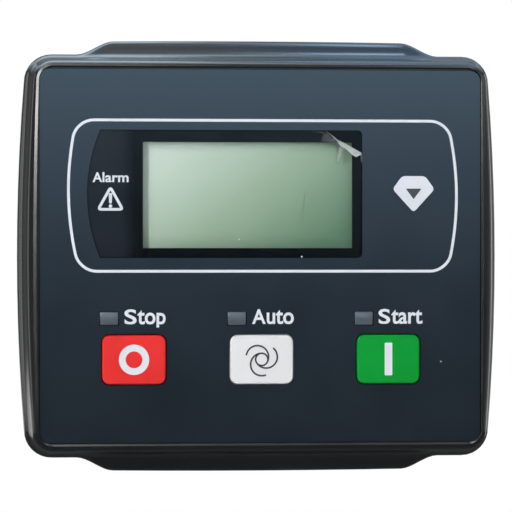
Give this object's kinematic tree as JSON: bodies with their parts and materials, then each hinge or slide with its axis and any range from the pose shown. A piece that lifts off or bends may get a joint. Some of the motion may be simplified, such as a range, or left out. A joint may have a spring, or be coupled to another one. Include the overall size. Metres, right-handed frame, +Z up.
{
  "type": "genset controller",
  "caption": "Panel-mounted generator auto-start module: black bezel with bulged edges, display window, alarm sign, status lights and sprung keys, with a rear case and terminals.",
  "frame": {"origin": "centre of the panel cut-out, on the seat plane where the gasket meets the panel's front", "axes": "+X right as seen from the front, +Y from the front into the panel, +Z up"},
  "size_m": [0.098, 0.0417, 0.0876],
  "materials": {
    "bezel_plastic": "satin black moulding",
    "facia_print": "fine matt printed sheet",
    "window_acrylic": "gloss",
    "clear_film": "gloss, torn and creased",
    "red_key": "satin",
    "white_key": "satin",
    "green_key": "satin",
    "dark_plastic": "satin",
    "grey_lens": "gloss",
    "pale_plastic": "satin",
    "display_glass": "gloss",
    "circuit_board": "solder mask",
    "tinned_metal": "bright",
    "brass": "bright",
    "relay_blue": "gloss",
    "ferrite": "matt",
    "terminal_green": "satin",
    "gasket_rubber": "closed-cell foam"
  },
  "bodies": {
    "housing": {"front_bezel": "bezel_plastic", "facia_overlay": "facia_print", "display_window": "window_acrylic", "window_film": "clear_film", "key_switches": "dark_plastic", "stop_light_pipe": "grey_lens", "auto_light_pipe": "grey_lens", "start_light_pipe": "grey_lens", "alarm_light_pipe": "pale_plastic", "status_leds": "pale_plastic", "lcd_glass": "display_glass", "lcd_backlight": "pale_plastic", "lcd_pins": "tinned_metal", "display_board": "circuit_board", "board_standoffs": "brass", "board_socket": "dark_plastic", "board_header": "dark_plastic", "main_board": "circuit_board", "main_board_screws": "tinned_metal", "crank_relay": "relay_blue", "fuel_relay": "relay_blue", "input_capacitors": "dark_plastic", "power_inductor": "ferrite", "voltage_regulator": "dark_plastic", "microcontroller": "dark_plastic", "crystal": "tinned_metal", "optocouplers": "pale_plastic", "input_terminal_header": "terminal_green", "output_terminal_header": "terminal_green", "input_terminal_plug": "terminal_green", "output_terminal_plug": "terminal_green", "terminal_screws": "tinned_metal", "programming_socket": "tinned_metal", "rear_case": "bezel_plastic", "case_screws": "tinned_metal", "panel_gasket": "gasket_rubber", "left_fixing_clip": "dark_plastic", "right_fixing_clip": "dark_plastic", "clip_screws": "tinned_metal"},
    "stop_key": {"stop_button": "red_key", "stop_switch_stem": "pale_plastic"},
    "auto_key": {"auto_button": "white_key", "auto_switch_stem": "pale_plastic"},
    "start_key": {"start_button": "green_key", "start_switch_stem": "pale_plastic"},
    "scroll_key": {"scroll_button": "dark_plastic", "scroll_switch_stem": "pale_plastic"}
  },
  "joints": [
    {"name": "stop_press", "type": "slide", "parent": "housing", "child": "stop_key", "axis": [0, 1, 0], "range_m": [0, 0.0003], "stiffness_N_per_m": 2000, "springref_m": -0.0002},
    {"name": "auto_press", "type": "slide", "parent": "housing", "child": "auto_key", "axis": [0, 1, 0], "range_m": [0, 0.0003], "stiffness_N_per_m": 2000, "springref_m": -0.0002},
    {"name": "start_press", "type": "slide", "parent": "housing", "child": "start_key", "axis": [0, 1, 0], "range_m": [0, 0.0003], "stiffness_N_per_m": 2000, "springref_m": -0.0002},
    {"name": "scroll_press", "type": "slide", "parent": "housing", "child": "scroll_key", "axis": [0, 1, 0], "range_m": [0, 0.0003], "stiffness_N_per_m": 2000, "springref_m": -0.0002}
  ]
}
